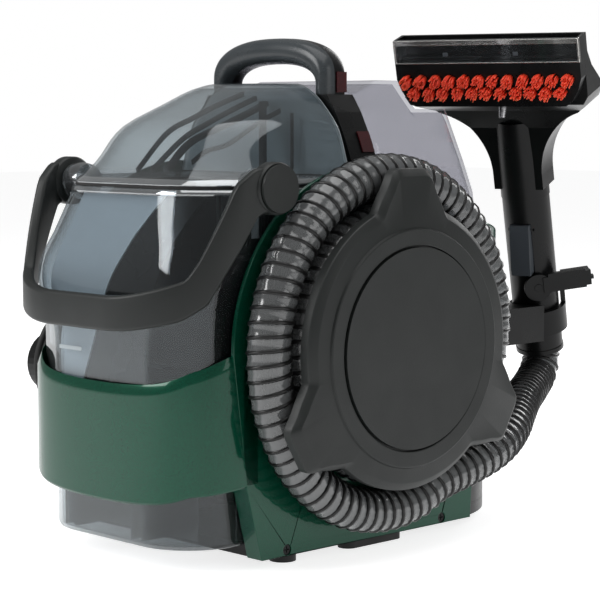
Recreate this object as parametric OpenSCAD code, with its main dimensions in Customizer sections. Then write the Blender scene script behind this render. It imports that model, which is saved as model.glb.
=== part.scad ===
// Portable spot extractor: a carry-round carpet and upholstery washer.
// +Z is up, the dirty water tank faces -Y and the hose reel is on the +X side.

/* [Overall] */
// half of the width over the side panels
side_x = 95; // [85:1:110]
// thickness of the moulded shells
shell = 3; // [2:0.5:5]
// height of the feet
foot_h = 6; // [4:1:12]
// height of the deck that the clean tank stands on
deck_z = 196; // [180:1:210]
// height of the seam between the dirty tank and its lid
seam_z = 250; // [235:1:265]
// top of the carry handle
handle_top = 349; // [340:1:360]
// foot of the carry handle's legs
handle_foot = 309.5; // [300:0.5:315]

/* [Hose reel] */
// outer radius of the reel cover
reel_r = 95; // [80:1:105]
// reach of the three lobes that keep the hose on the reel
lobe_r = 119; // [105:1:125]
// height of the reel's middle
reel_z = 142; // [130:1:155]
// outer radius of the hose
hose_r = 15.5; // [12:0.5:18]

/* [Bail and tanks] */
// height of the bail's pivots
pivot_z = 249; // [240:1:260]
// radius of the bail's hub caps
cap_r = 17; // [14:0.5:20]
// wall of the clear tanks
tank_wall = 2.5; // [2:0.25:4]

/* [Hose tool] */
// half of the width of the tool's head
head_hw = 73; // [50:1:80]
// lower edge of the clear window
window_z = 188; // [180:1:195]
// radius of the grip
grip_r = 18.5; // [15:0.5:20]
// number of bristle tufts in the upper row
tufts = 12; // [8:1:14]

/* [Hidden] */
$fn = 72;
e = 0.01;
// the bail reaches less far forward than the tool does back: this centres the whole
y_mid = -22.5;
// the reel's middle, front to back
reel_y = -41;
// pivots of the bail, front to back
pivot_y = -134;
// the frame between the tanks runs from front to back between these
frame_y0 = -42;
frame_y1 = -17;
// rear walls
house_y = 143;
ledge_y = 157;
in_x = side_x - shell;
// the hose tool leans forward and looks a little to the hose side
tool_at = [26, 224, 168.4];
tool_turn = 19;
tool_lean = 16.5;
// the reel's own sizes across the machine
hub_x = 131;
cover_x = 145;
hose_x = 111.5;

// the hose runs from the grip's collar, round the reel twice, to the port on the frame
function tool_pt(z) = tool_at + z * [sin(tool_lean) * sin(tool_turn), -sin(tool_lean) * cos(tool_turn),
                                      cos(tool_lean)];
tail = [tool_pt(-62.4), tool_pt(-68), [21, 240, 96], [25, 231, 88], [33, 216, 84], [46, 194, 81],
        [62, 167, 78], [78, 142, 73], [94, 117, 67], [105, 94, 61], [110.5, 72, 55], [111.5, 45, 48.5]];
turn_y = -36;
outer_a = 108;
outer_b = 113;
inner_a = 77;
inner_b = 80.4;
function mix(t) = let (u = min(1, max(0, t))) u * u * (3 - 2 * u);
function reel_pt(w) = let (k = mix((-w - 350) / 80),
                           a = outer_a + (inner_a - outer_a) * k,
                           b = outer_b + (inner_b - outer_b) * k)
    [hose_x, turn_y + a * cos(w), reel_z + b * sin(w)];
turn_end = -614;
hose_route = concat(tail, [for (w = [-62 : -12 : turn_end]) reel_pt(w)],
                    [[hose_x, -49, 222.4], [hose_x, -45, 222.4]]);
// radius and routes of the mains cord
cord_r = 3.2;
lead_route = [[-103, 47, 30], [-103.1, 38, 30.5], [-103.1, 26, 33], [-103, 12, 39.5], [-102.8, -2, 48],
              [-102.6, -16, 56.5], [-102.4, -30, 64], [-102.4, -42, 68.6]];
tail_route = [[-122.2, -60, 160], [-121.5, -46, 161.5], [-119, -32, 165], [-116, -18, 169.5],
              [-114, -8, 173], [-113, 0, 175.5]];

green = [0.0, 0.31, 0.21];
charcoal = [0.17, 0.18, 0.18];
black = [0.05, 0.05, 0.055];
smoke = [0.55, 0.62, 0.66, 0.45];
lavender = [0.66, 0.66, 0.74, 0.5];
steel = [0.7, 0.7, 0.72];

// ---------- helpers ----------

// everything is drawn about the tanks and then centred front to back
module placed() translate([0, y_mid, 0]) children();

// a flat outline in Y and Z given a thickness from x0 to x1
module side_slab(x0, x1) translate([x0, 0, 0]) rotate([90, 0, 90]) linear_extrude(x1 - x0) children();

// a flat outline in X and Z given a thickness from y0 to y1
module cross_slab(y0, y1) translate([0, y1, 0]) rotate([90, 0, 0]) linear_extrude(y1 - y0) children();

module across(x0, x1, y, z, r) translate([x0, y, z]) rotate([0, 90, 0]) cylinder(h = x1 - x0, r = r);

module block(x0, x1, y0, y1, z0, z1) translate([x0, y0, z0]) cube([x1 - x0, y1 - y0, z1 - z0]);

// plan with two round corners at the back
module rear_round(hw, y0, y1, r) intersection() {
    translate([-hw, y0]) square([2 * hw, y1 - y0]);
    union() {
        translate([-hw, y0]) square([2 * hw, y1 - r - y0]);
        translate([-(hw - r), y0]) square([2 * (hw - r), y1 - y0]);
        for (s = [-1, 1]) translate([s * (hw - r), y1 - r]) circle(r);
    }
}

// one thin layer of a tank: half width, front, back, corner radii
module layer(z, hw, y0, y1, r0, r1) {
    for (s = [-1, 1]) {
        translate([s * (hw - r0), y0 + r0, z]) cylinder(h = 0.1, r = r0, $fn = 40);
        translate([s * (hw - r1), y1 - r1, z]) cylinder(h = 0.1, r = r1, $fn = 40);
    }
}

// the dirty tank's faceted layer, which follows the green band
module band_layer(z, in) {
    for (s = [-1, 1]) {
        translate([s * 46, -180, z]) cylinder(h = 0.1, r = 12 - in, $fn = 40);
        translate([s * 74.5, -165.5, z]) cylinder(h = 0.1, r = 12 - in, $fn = 40);
        translate([s * 77, -130, z]) cylinder(h = 0.1, r = 12 - in, $fn = 40);
        translate([s * 84, -49, z]) cylinder(h = 0.1, r = 5 - in, $fn = 40);
    }
}

// a tube swept through points: rings of n sides, closed at both ends
function unit(v) = v / norm(v);
function along(p, i) = unit(p[min(i + 1, len(p) - 1)] - p[max(i - 1, 0)]);
function ring_at(p, i, r, n, up) = let (t = along(p, i), a = unit(cross(t, up)), b = cross(t, a))
    [for (k = [0 : n - 1]) p[i] + r * (a * cos(360 * k / n) + b * sin(360 * k / n))];
module swept(p, r, n, up) {
    m = len(p);
    pts = [for (i = [0 : m - 1]) each ring_at(p, i, r, n, up)];
    sides = [for (i = [0 : m - 2], k = [0 : n - 1])
        [i * n + k, i * n + (k + 1) % n, (i + 1) * n + (k + 1) % n, (i + 1) * n + k]];
    ends = [[for (k = [n - 1 : -1 : 0]) k], [for (k = [0 : n - 1]) (m - 1) * n + k]];
    polyhedron(points = pts, faces = concat(sides, ends), convexity = 10);
}

module in_tool() translate(tool_at) rotate([0, 0, tool_turn]) rotate([tool_lean, 0, 0]) children();

// ---------- base and case ----------

module base_chassis() color(black) placed() {
    difference() {
        translate([0, 0, foot_h]) linear_extrude(8) {
            rear_round(in_x, -118, house_y, 88);
            translate([-80.8, -132]) square([161.6, 16]);
        }
        for (s = [-1, 1], y = [-112, 40]) across(s > 0 ? 82 : -in_x - e, s > 0 ? in_x + e : -82, y, 10, 2.05);
    }
}

module rubber_feet() color(black) placed() {
    for (s = [-1, 1]) {
        translate([s * 82, -104, 0]) cylinder(h = foot_h, r = 9);
        translate([s * 66, 86, 0]) cylinder(h = foot_h, r = 9);
        translate([s * 84 - 7, -51, 0]) linear_extrude(foot_h) {
            translate([0, 7]) square([14, 42]);
            for (y = [7, 49]) translate([7, y]) circle(7);
        }
    }
}

module rear_housing() color(black) placed() {
    difference() {
        translate([0, 0, 14]) linear_extrude(deck_z - 6 - 14) rear_round(in_x, frame_y1, house_y, 88);
        translate([0, 0, 14 - e]) linear_extrude(deck_z - 6 - 14 + 2 * e)
            rear_round(in_x - shell, frame_y1 - e, house_y - shell, 85);
        // outlet grille in the back
        for (i = [0 : 7]) block(-30, 30, house_y - 20, house_y + e, 36 + i * 7, 39.5 + i * 7);
        // inlet of the mains cord
        across(-in_x - e, -in_x + 16, 83, 30, 5.05);
    }
}

module tank_deck() color([0.72, 0.73, 0.75]) placed() {
    difference() {
        translate([0, 0, deck_z - 6]) linear_extrude(6) rear_round(in_x, frame_y1, ledge_y, 90);
        translate([0, 32, deck_z - 7]) cylinder(h = 8, r = 28);
        translate([-20, 118, deck_z - 7]) cube([40, 18, 8]);
    }
}

// the raised green surround of the clean tank, sloped at the back
module rear_cowl() color(green) placed() {
    difference() {
        translate([0, 0, deck_z]) linear_extrude(22) rear_round(in_x, frame_y1, ledge_y, 90);
        translate([0, 0, deck_z - e]) linear_extrude(23) rear_round(87.4, frame_y1 - 1, 94.6, 13.4);
        side_slab(-100, 100) polygon([[96, deck_z + 22.1], [ledge_y + 1, deck_z + 9], [ledge_y + 1, deck_z + 23],
                                      [96, deck_z + 23]]);
        translate([-20, 118, deck_z - e]) cube([40, 18, 40]);
    }
}

// right half of the arch between the tanks, from the base to the gap under the handle
shoulder = [[in_x, 14], [in_x, 236], [86.5, 260], [82.5, 270], [79, 278.6], [74.8, 287], [69.5, 297.5],
            [61, handle_foot], [46, handle_foot], [43, 306]];

// the black arch and air ducts between the two tanks
module center_frame() color(black) placed() {
    difference() {
        cross_slab(frame_y0, frame_y1)
            polygon(concat(shoulder, [for (i = [len(shoulder) - 1 : -1 : 0]) [-shoulder[i][0], shoulder[i][1]]]));
        // outlet duct: from the lid down to the fan
        block(-26, 26, frame_y0 + 4, frame_y1 - 4, 60, 280);
        translate([0, frame_y0 - e, 262]) rotate([-90, 0, 0]) cylinder(h = 5, r = 14.05);
        translate([0, frame_y1 + e, 92]) rotate([90, 0, 0]) cylinder(h = 5, r = 20);
        // inlet duct: from the hose port to the tank
        across(50, in_x + e, -29.5, 222.4, 9);
        translate([58, frame_y0 - e, 222.4]) rotate([-90, 0, 0]) cylinder(h = 12.5, r = 9);
    }
}

// a crowned arch: straight legs up to z0, then a flattened oval of the given rise
module crown(hw, z0, rise) polygon(concat(
    [[hw, handle_foot]],
    [for (a = [0 : 5 : 180]) [hw * sign(cos(a)) * pow(abs(cos(a)), 2 / 2.4), z0 + rise * pow(sin(a), 2 / 2.4)]],
    [[-hw, handle_foot]]));

module carry_handle() color(charcoal) placed() {
    cross_slab(frame_y0, frame_y0 + 22) difference() {
        crown(59, handle_top - 27, 27);
        translate([0, -e]) crown(46, handle_top - 35, 17);
    }
}

// dark red windows on the handle's legs and on the shoulders of the frame
module handle_inlays() color([0.35, 0.02, 0.04, 0.8]) placed() {
    for (s = [-1, 1]) mirror([s > 0 ? 0 : 1, 0, 0]) {
        block(59.05, 59.9, -31, -21.5, 311, 325);
        cross_slab(-29.5, -18.2) polygon([[76.7, 284], [79.2, 278.9], [82.8, 270.1], [83.7, 270.5], [80.1, 279.3],
                                          [77.6, 284.4]]);
    }
}

// outline of both side panels in Y and Z: a round arch over a straight base
module panel_outline() {
    intersection() {
        translate([-39, reel_z]) circle(120, $fn = 180);
        translate([-159, reel_z - e]) square([240, 130]);
    }
    polygon([[-135, foot_h], [71, foot_h], [78, 120], [81, reel_z], [-159, reel_z], [-148, 56]]);
}

module panel_shell() {
    difference() {
        side_slab(in_x, side_x) panel_outline();
        for (y = [-112, 40]) across(in_x - e, side_x + e, y, 10, 3.6);
    }
    // the front post that closes the base beside the tank
    side_slab(81, in_x) polygon([[-135, foot_h], [-121, foot_h], [-134, 56], [-148, 56]]);
}

module hose_side_panel() color(green) placed() {
    difference() {
        panel_shell();
        across(in_x - e, side_x + e, -29.5, 222.4, 10);
    }
}

module cord_side_panel() color(green) placed() {
    mirror([1, 0, 0]) panel_shell();
}

module front_band() color(green) placed() {
    outer = [[-side_x, -140], [-side_x, -160], [-84, -184], [-50, -198], [50, -198], [84, -184], [side_x, -160],
             [side_x, -140]];
    inner = [[-in_x, -139], [-in_x, -159.3], [-81.8, -181.8], [-49.4, -195], [49.4, -195], [81.8, -181.8],
             [in_x, -159.3], [in_x, -139]];
    intersection() {
        translate([0, 0, 40]) linear_extrude(110) difference() {
            polygon(outer);
            polygon(inner);
        }
        side_slab(-100, 100)
            polygon([[-198.1, 121], [-184, 132], [-159, reel_z], [-148, 56], [-184, 52], [-198.1, 43]]);
    }
}

module case_screws() color(black) placed() {
    for (s = [-1, 1], y = [-112, 40]) mirror([s > 0 ? 0 : 1, 0, 0]) {
        difference() {
            union() {
                across(83, in_x, y, 10, 2);
                across(in_x, in_x + 2.2, y, 10, 3.4);
            }
            // cross recess
            block(in_x + 1.2, in_x + 3, y - 2.2, y + 2.2, 9.6, 10.4);
            block(in_x + 1.2, in_x + 3, y - 0.4, y + 0.4, 7.8, 12.2);
        }
    }
}

// ---------- hose reel ----------

module hose_reel_hub() color(black) placed() {
    difference() {
        across(side_x, hub_x, reel_y, reel_z, 56);
        across(side_x + 3, hub_x + e, reel_y, reel_z, 52);
    }
    for (a = [30, 150, 270]) translate([0, reel_y, reel_z]) rotate([a, 0, 0])
        across(side_x + 3, hub_x, 40, 0, 5);
}

module reel_outline() {
    circle(reel_r, $fn = 120);
    for (a = [90, 210, 330]) rotate(a)
        polygon([[60, -38], [88, -33], [112, -19], [lobe_r, -15], [lobe_r, 15], [112, 19], [88, 33], [60, 38]]);
}

module hose_reel_cover() color(charcoal) placed() {
    difference() {
        union() {
            translate([0, reel_y, reel_z]) side_slab(hub_x, cover_x - 2) reel_outline();
            across(cover_x - 2, cover_x, reel_y, reel_z, 79);
        }
        across(cover_x - 3, cover_x + e, reel_y, reel_z, 68);
    }
}

module hose_reel_cap() color(charcoal) placed() across(cover_x - 3, cover_x + 1, reel_y, reel_z, 67);

module hose_port() color(black) placed() {
    difference() {
        union() {
            translate([hose_x, -29.5, 222.4]) rotate([90, 0, 0]) cylinder(h = 15.5, r = 16);
            across(side_x, hose_x + 16, -29.5, 222.4, 15.4);
            across(side_x, side_x + 0.7, -29.5, 222.4, 20);
        }
        translate([hose_x, -29.5, 222.4]) rotate([90, 0, 0]) cylinder(h = 16, r = 10);
        across(side_x - e, hose_x, -29.5, 222.4, 10);
    }
}

// ---------- inside the case ----------

module vac_motor() color(steel) placed() {
    translate([0, 22, 92]) rotate([-90, 0, 0]) cylinder(h = 58, r = 40);
    translate([0, 80, 92]) rotate([-90, 0, 0]) cylinder(h = 14, r = 22);
}

// the cradle that carries the motor off the floor plate
module motor_mount() color(charcoal) placed() {
    difference() {
        block(-46, 46, 30, 70, 14, 92);
        translate([0, 20, 92]) rotate([-90, 0, 0]) cylinder(h = 60, r = 40.05);
        block(-36, 36, 29, 71, 14 - e, 40);
    }
}

module fan_housing() color(charcoal) placed() {
    difference() {
        translate([0, frame_y1, 92]) rotate([-90, 0, 0]) cylinder(h = 35, r = 52);
        translate([0, frame_y1 + 4, 92]) rotate([-90, 0, 0]) cylinder(h = 27, r = 48);
        translate([0, frame_y1 - e, 92]) rotate([-90, 0, 0]) cylinder(h = 5, r = 18);
        translate([0, 12, 92]) rotate([-90, 0, 0]) cylinder(h = 7, r = 5.5);
    }
}

module fan_impeller() color([0.8, 0.8, 0.82]) placed() {
    translate([0, 10, 92]) rotate([-90, 0, 0]) cylinder(h = 3, r = 44);
    translate([0, -8, 92]) rotate([-90, 0, 0]) cylinder(h = 29.7, r = 5);
    for (k = [0 : 8]) translate([0, 0, 92]) rotate([0, k * 40, 0]) block(9, 42, -8, 10, -1, 1);
}

module pump_body() color(charcoal) placed() {
    block(50, 82, 30, 66, 14, 56);
    translate([66, 30, 36]) rotate([90, 0, 0]) cylinder(h = 28, r = 13);
}

// clear tube from the tank socket to the pump
module pump_tube() color([0.9, 0.9, 0.9, 0.6]) placed()
    swept([[66, 54, 56], [66, 54, 62], [66, 54, 82], [64, 53, 104], [56, 49, 126], [40, 41, 142], [20, 35, 150],
           [5, 32.5, 155], [0, 32, 162], [0, 32, 166]], 3.5, 8, [0, 1, 0]);

// spring-loaded socket that the clean tank's cap drops into
module tank_socket() color(black) placed() {
    difference() {
        translate([0, 32, 166]) cylinder(h = deck_z - 166, r = 28);
        translate([0, 32, 172]) cylinder(h = deck_z - 172 + e, r = 24.6);
        translate([0, 32, 166 - e]) cylinder(h = 7, r = 2);
    }
}

module switch_bezel() color(black) placed() {
    difference() {
        block(-20, 20, 118, 136, deck_z - 6, deck_z + 11);
        block(-16, 16, 120.5, 133.5, deck_z - 5, deck_z + 12);
    }
}

module power_switch() color([0.6, 0.05, 0.05]) placed() {
    translate([0, 127, deck_z + 6]) rotate([4, 0, 0]) {
        block(-15, 15, -6, 6, -3, 6);
        rotate([0, 90, 0]) translate([0, 0, -15.9]) cylinder(h = 31.8, r = 1.5);
    }
}

// clip on the back that the hose grip is parked in
module tool_cradle() color(black) placed() {
    difference() {
        union() {
            block(6, 44, 120, 216, 118, 146);
            intersection() {
                block(-2, 52, 100, 160, 100, 170);
                translate([0, 0, 100]) linear_extrude(70) rear_round(in_x + 4, frame_y1, house_y + 4, 92);
            }
            in_tool() translate([0, 0, -44]) cylinder(h = 20, r = 23.5);
            // thumb tab on the far side
            in_tool() rotate([0, 0, 25]) block(19.6, 23.4, -4, 4, -26, -8);
        }
        in_tool() translate([0, 0, -110]) cylinder(h = 260, r = 19.5);
        in_tool() rotate([0, 0, 70]) block(0, 60, -15, 15, -60, -2);
        rear_cut();
    }
}

// the bracket stays outside the round back of the case
module rear_cut() translate([0, 0, 90]) linear_extrude(90) rear_round(in_x, frame_y1, house_y, 88);

// ---------- mains cord ----------

// the winding: an oval of cord laid between the two hooks
hank_z = 115;
hank_y0 = -108;
hank_y1 = 45;
hank_out = 48.5;
hank_in = 22;

module oval(r) {
    for (y = [hank_y0, hank_y1]) translate([y, hank_z]) circle(r);
    translate([hank_y0, hank_z - r]) square([hank_y1 - hank_y0, 2 * r]);
}

module hook(y, dir) {
    across(-side_x - 36, -side_x, y, hank_z, 20);
    side_slab(-146, -side_x - 36) hull() {
        translate([y, hank_z]) circle(26, $fn = 32);
        translate([y + dir * 14, hank_z]) circle(22, $fn = 32);
    }
}

module cord_hook_front() color(black) placed() hook(hank_y0, -1);

// the rear hook turns on its pin, so that the whole winding drops off
module cord_hook_rear() color(black) placed() {
    difference() {
        hook(hank_y1, 1);
        block(-side_x - 0.3, -side_x + 1, 0, 90, 80, 150);
        across(-side_x - 20, -side_x + e, hank_y1, hank_z, 6.05);
    }
}

module hook_pin() color(steel) placed() across(-side_x - 19, -side_x, hank_y1, hank_z, 6);

// moulded elbow where the mains cord leaves the case, with a tapered strain relief
module cord_gland() color(black) placed() {
    across(-110, -86, 83, 30, 9);
    across(-87, -78, 83, 30, 5);
    translate([-103, 76, 30]) rotate([90, 0, 0]) cylinder(h = 29, r1 = 6.8, r2 = 3.9);
}

module cord_winding() color(black) placed() {
    side_slab(-126, -99) difference() {
        oval(hank_out);
        oval(hank_in);
    }
}

module cord_lead() color(black) placed() swept(lead_route, cord_r, 8, [1, 0, 0]);

module cord_tail() color(black) placed() swept(tail_route, cord_r, 8, [1, 0, 0]);

module power_plug() color(black) placed() {
    translate([-113, 0, 175.5]) rotate([-90, 0, 0]) cylinder(h = 17, r1 = 4, r2 = 7);
    block(-124, -102, 16.5, 42, 163.6, 187.4);
    for (s = [-1, 1]) block(-113 + s * 6.35 - 0.8, -113 + s * 6.35 + 0.8, 42, 60, 172.5, 178.5);
}

// ---------- dirty tank ----------

// skins each layer to the next
module loft() for (i = [0 : $children - 2]) hull() {
    children(i);
    children(i + 1);
}

module dirty_outer(in) loft() {
    band_layer(104 + in, in);
    band_layer(152, in);
    layer(190, 89 - in, -190 + in, -44 - in, 30, 5);
    layer(220, 88.5 - in, -182 + in, -44 - in, 45, 5);
    layer(seam_z - 2.1 + (in > 0 ? 1 : 0), 88 - in, -173 + in, -44 - in, 58, 5);
}

module dirty_foot(in, top) translate([0, 0, 14 + in]) linear_extrude(top - 14 - in) {
    hw = 80 - in;
    r = 44 - in;
    translate([-(hw - r), -189 + in]) square([2 * (hw - r), 142 - 2 * in]);
    translate([-hw, -189 + in + r]) square([2 * hw, 142 - 2 * in - r]);
    for (s = [-1, 1]) translate([s * (hw - r), -189 + in + r]) circle(r);
}

// round bosses for the bail, which stand clear of the lid above the seam
module pivot_boss() for (s = [-1, 1]) mirror([s > 0 ? 0 : 1, 0, 0]) {
    across(89.4, 99, pivot_y, pivot_z, 13);
    intersection() {
        across(84, 90, pivot_y, pivot_z, 13);
        block(80, 100, -160, -110, 220, seam_z - 2);
    }
}

module pivot_bore() for (s = [-1, 1]) mirror([s > 0 ? 0 : 1, 0, 0]) across(89.5, 110, pivot_y, pivot_z, 5.06);

module dirty_tank_shell() color(smoke) placed() {
    difference() {
        union() {
            dirty_outer(0);
            dirty_foot(0, 105);
            pivot_boss();
        }
        difference() {
            union() {
                dirty_outer(tank_wall);
                dirty_foot(tank_wall, 112);
            }
            // solid root behind each pivot
            for (s = [-1, 1]) mirror([s > 0 ? 0 : 1, 0, 0]) across(80, 99, pivot_y, pivot_z, 13);
        }
        pivot_bore();
        // inlet from the hose duct
        translate([58, -50, 222.4]) rotate([-90, 0, 0]) cylinder(h = 10, r = 9);
    }
}

// three sloping ribs and an upright, which keep the water from the outlet
module tank_baffle() color([0.3, 0.33, 0.35, 0.8]) placed() {
    for (i = [0 : 2]) side_slab(-60, 60)
        polygon([[-150, 96 + i * 30], [-60, 128 + i * 30], [-60, 131 + i * 30], [-150, 99 + i * 30]]);
    block(-62, -60, -150, -60, 90, 200);
    block(60, 62, -150, -60, 90, 200);
    block(-62, -58, -62, -46.5, 140, 150);
    block(58, 62, -62, -46.5, 140, 150);
}

module float_cage() color(charcoal) placed() {
    difference() {
        translate([0, -66, 200]) cylinder(h = 47, r = 17);
        translate([0, -66, 203]) cylinder(h = 45, r = 14.5);
        for (a = [0, 90]) translate([0, -66, 225]) rotate([0, 0, a]) cube([10, 60, 30], center = true);
    }
    block(-5, 5, -52, -46.5, 200, 206);
}

module float_ball() color([0.85, 0.85, 0.8]) placed() translate([0, -66, 203.3]) cylinder(h = 22, r = 14);

// outline of the seam: wide round corners at the front, small ones at the back
module seam_outline(in) {
    hw = 87.5 - in;
    r = 58 - in;
    translate([-hw, -172.5 + in + r]) square([2 * hw, 128 - 2 * in - r]);
    translate([-(hw - r), -172.5 + in]) square([2 * (hw - r), 128 - 2 * in]);
    for (s = [-1, 1]) translate([s * (hw - r), -172.5 + in + r]) circle(r);
}

module tank_seal() color(black) placed() translate([0, 0, seam_z - 2]) linear_extrude(2) difference() {
    seam_outline(0);
    seam_outline(2.4);
}

module lid_outer(in) {
    intersection() {
        hull() {
            layer(seam_z - (in > 0 ? 0.5 : 0), 88 - in, -173 + in, -30, 58, 5);
            layer(263, 84 - in, -157 + in, -30, 56, 5);
            layer(287, 75 - in, -137 + in, -30, 50, 5);
            layer(304, 60 - in, -104 + in, -30, 40, 5);
            layer(313 - in / 2, 48 - in, -84 + in, -20, 30, 5);
            layer(317 - in, 38 - in, -72 + in, -20, 22, 5);
        }
        block(-100, 100, -200, -44 - in, seam_z - 1, 330);
    }
}

module dirty_tank_lid() color(smoke) placed() {
    difference() {
        lid_outer(0);
        lid_outer(tank_wall);
        // outlet to the frame's duct
        translate([0, -50, 262]) rotate([-90, 0, 0]) cylinder(h = 10, r = 14);
    }
}

// ---------- bail ----------

module bail_pins() color(steel) placed() for (s = [-1, 1]) mirror([s > 0 ? 0 : 1, 0, 0])
    across(90, 108, pivot_y, pivot_z, 5);

// side profile of the strap in Y and Z
module strap_profile() polygon([[-217, 155], [-206, 159.5], [-190, 166], [-178, 176], [-168, 196], [-148, 232],
                                [-134, 236], [-134, 262], [-150, 262], [-162, 252], [-182, 204], [-188, 192],
                                [-204, 184], [-217, 177]]);

// plan of the strap: a U with wide round corners
module strap_plan(in) {
    hw = 111 - in;
    r = 84 - in;
    translate([-hw, -130]) square([2 * hw, 30]);
    for (s = [-1, 1]) translate([s * (hw - r), -130]) circle(r, $fn = 120);
    translate([-(hw - r), -214 + in]) square([2 * (hw - r), 100]);
}

module bail_handle() color(charcoal) placed() {
    difference() {
        union() {
            intersection() {
                translate([0, 0, 150]) linear_extrude(120) difference() {
                    strap_plan(0);
                    strap_plan(7.5);
                }
                side_slab(-120, 120) strap_profile();
            }
            for (s = [-1, 1]) mirror([s > 0 ? 0 : 1, 0, 0]) across(100.5, 111, pivot_y, pivot_z, cap_r);
        }
        for (s = [-1, 1]) mirror([s > 0 ? 0 : 1, 0, 0]) across(100, 108, pivot_y, pivot_z, 5);
    }
}

module bail_caps() color(charcoal) placed() for (s = [-1, 1]) mirror([s > 0 ? 0 : 1, 0, 0])
    across(111, 113, pivot_y, pivot_z, cap_r - 1.5);

// ---------- clean tank ----------

// one thin layer of the clean tank
module clean_layer(z, hw, y1, r, in) {
    for (s = [-1, 1]) {
        translate([s * (hw - 6), -9, z]) cylinder(h = 0.1, r = 6 - in, $fn = 24);
        translate([s * (hw - r), y1 - r, z]) cylinder(h = 0.1, r = r - in, $fn = 24);
    }
}

module clean_outer(in) {
    hull() {
        clean_layer(deck_z + in, 86, 92.5, 12, in);
        clean_layer(216, 86.3, 92.3, 12, in);
        clean_layer(240, 86, 90.5, 15, in);
        clean_layer(262, 83.5, 86, 20, in);
        clean_layer(276, 79, 82.7, 19, in);
        clean_layer(290, 72.5, 79.5, 14, in);
        clean_layer(299.5 - in, 67, 77.5, 9, in);
    }
    // the hump next to the frame
    intersection() {
        cross_slab(-15 + in, 50) polygon([[-73 + in, 288], [-66 + in, 302], [-59 + in, 319.6 - in],
                                          [59 - in, 319.6 - in], [66 - in, 302], [73 - in, 288]]);
        side_slab(-80, 80) polygon([[-16, 288], [-16, 311 - in], [8, 319.5 - in], [30 - in, 319.5 - in],
                                    [34 - in, 309], [40 - in, 299.5 - in], [46 - in, 288]]);
    }
}

module clean_tank_shell() color(lavender) placed() {
    difference() {
        clean_outer(0);
        clean_outer(tank_wall);
        translate([0, 32, deck_z - 1]) cylinder(h = 5, r = 17);
    }
}

// the threaded neck under the clean tank
module clean_tank_neck() color(lavender) placed() {
    difference() {
        translate([0, 32, deck_z - 8.6]) cylinder(h = 8.6, r = 20);
        translate([0, 32, deck_z - 10]) cylinder(h = 11, r = 17);
    }
}

module clean_tank_cap() color(black) placed() {
    difference() {
        translate([0, 32, deck_z - 14]) cylinder(h = 13, r = 24);
        translate([0, 32, deck_z - 10]) cylinder(h = 10, r = 20.4);
        translate([0, 32, deck_z - 15]) cylinder(h = 6, r = 6.05);
    }
}

module cap_seal() color([0.3, 0.3, 0.3]) placed() {
    difference() {
        translate([0, 32, deck_z - 10]) cylinder(h = 1, r = 19.5);
        translate([0, 32, deck_z - 11]) cylinder(h = 4, r = 16);
    }
}

// spring-loaded poppet that opens when the tank stands on its socket
module tank_valve() color([0.8, 0.8, 0.8]) placed() {
    translate([0, 32, deck_z - 20]) cylinder(h = 12, r = 6);
    translate([0, 32, deck_z - 8]) cylinder(h = 2, r = 10);
}

// ---------- hose and tool ----------

module flex_hose() color([0.2, 0.2, 0.22]) placed() swept(hose_route, hose_r, 12, [1, 0, 0]);

module hose_collar() color(black) placed() in_tool() {
    difference() {
        union() {
            translate([0, 0, -62]) cylinder(h = 22, r = grip_r);
            translate([0, 0, -62]) cylinder(h = 4, r = 19);
        }
        translate([0, 0, -63]) cylinder(h = 24, r = 11);
    }
}

module hose_grip() color(black) placed() in_tool() {
    difference() {
        translate([0, 0, -40]) cylinder(h = 108, r = grip_r);
        translate([0, 0, -41]) cylinder(h = 110, r = 11);
        // pocket of the trigger
        block(-8.4, 8.4, -30, -12.5, 8, 49);
        across(-10.6, 10.6, -14.6, 44, 1.5);
        rotate([0, 0, 30]) translate([0, -12, -3]) rotate([90, 0, 0]) cylinder(h = 10, r = 3);
    }
}

module spray_valve() color(steel) placed() in_tool() translate([0, -6, 12]) cylinder(h = 30, r = 5);

// pivots of the trigger and of the lever
module tool_pins() color(steel) placed() in_tool() {
    across(-10.6, 10.6, -14.6, 44, 1.5);
    rotate([0, 0, 30]) translate([0, -12, -3]) rotate([90, 0, 0]) cylinder(h = 10.5, r = 3);
}

module spray_trigger() color([0.22, 0.24, 0.26]) placed() in_tool() {
    difference() {
        side_slab(-8, 8) polygon([[-20.5, 48.5], [-12.8, 48.5], [-12.8, 40], [-17.6, 10], [-25.5, 9], [-25.5, 16],
                                  [-21.5, 44]]);
        across(-9, 9, -14.6, 44, 1.56);
    }
}

// ribbed lever on a round hub, which turns on the side of the grip
module grip_lever() color(black) placed() in_tool() rotate([0, 0, 30]) {
    difference() {
        union() {
            translate([0, -18.7, -3]) rotate([90, 0, 0]) cylinder(h = 3.5, r = 11);
            block(4, 20, -23, -19, -6, 5);
            for (z = [-6, 0, 6]) block(z > 0 ? 8 : 4, 44 - abs(z), -23, -19, z - 1.5, z + 1.5);
            block(20, 42, -19, -9, 1, 5);
            block(20, 42, -23, -19, -6, 6);
        }
        translate([0, -12, -3]) rotate([90, 0, 0]) cylinder(h = 30, r = 3.06);
    }
}

// the head's outline from the front: a tube that flares in two arcs to the full width
module head_outline(in) difference() {
    polygon([[-20 + in, 60], [20 - in, 60], [20 - in, 88], [56 - in, 140], [66 - in, 148], [head_hw - in, 159],
             [head_hw - in, 207], [in - head_hw, 207], [in - head_hw, 159], [in - 66, 148], [in - 56, 140],
             [in - 20, 88]]);
    for (s = [-1, 1]) translate([s * 75.6, 88]) circle(55.6 + in, $fn = 120);
}

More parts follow.
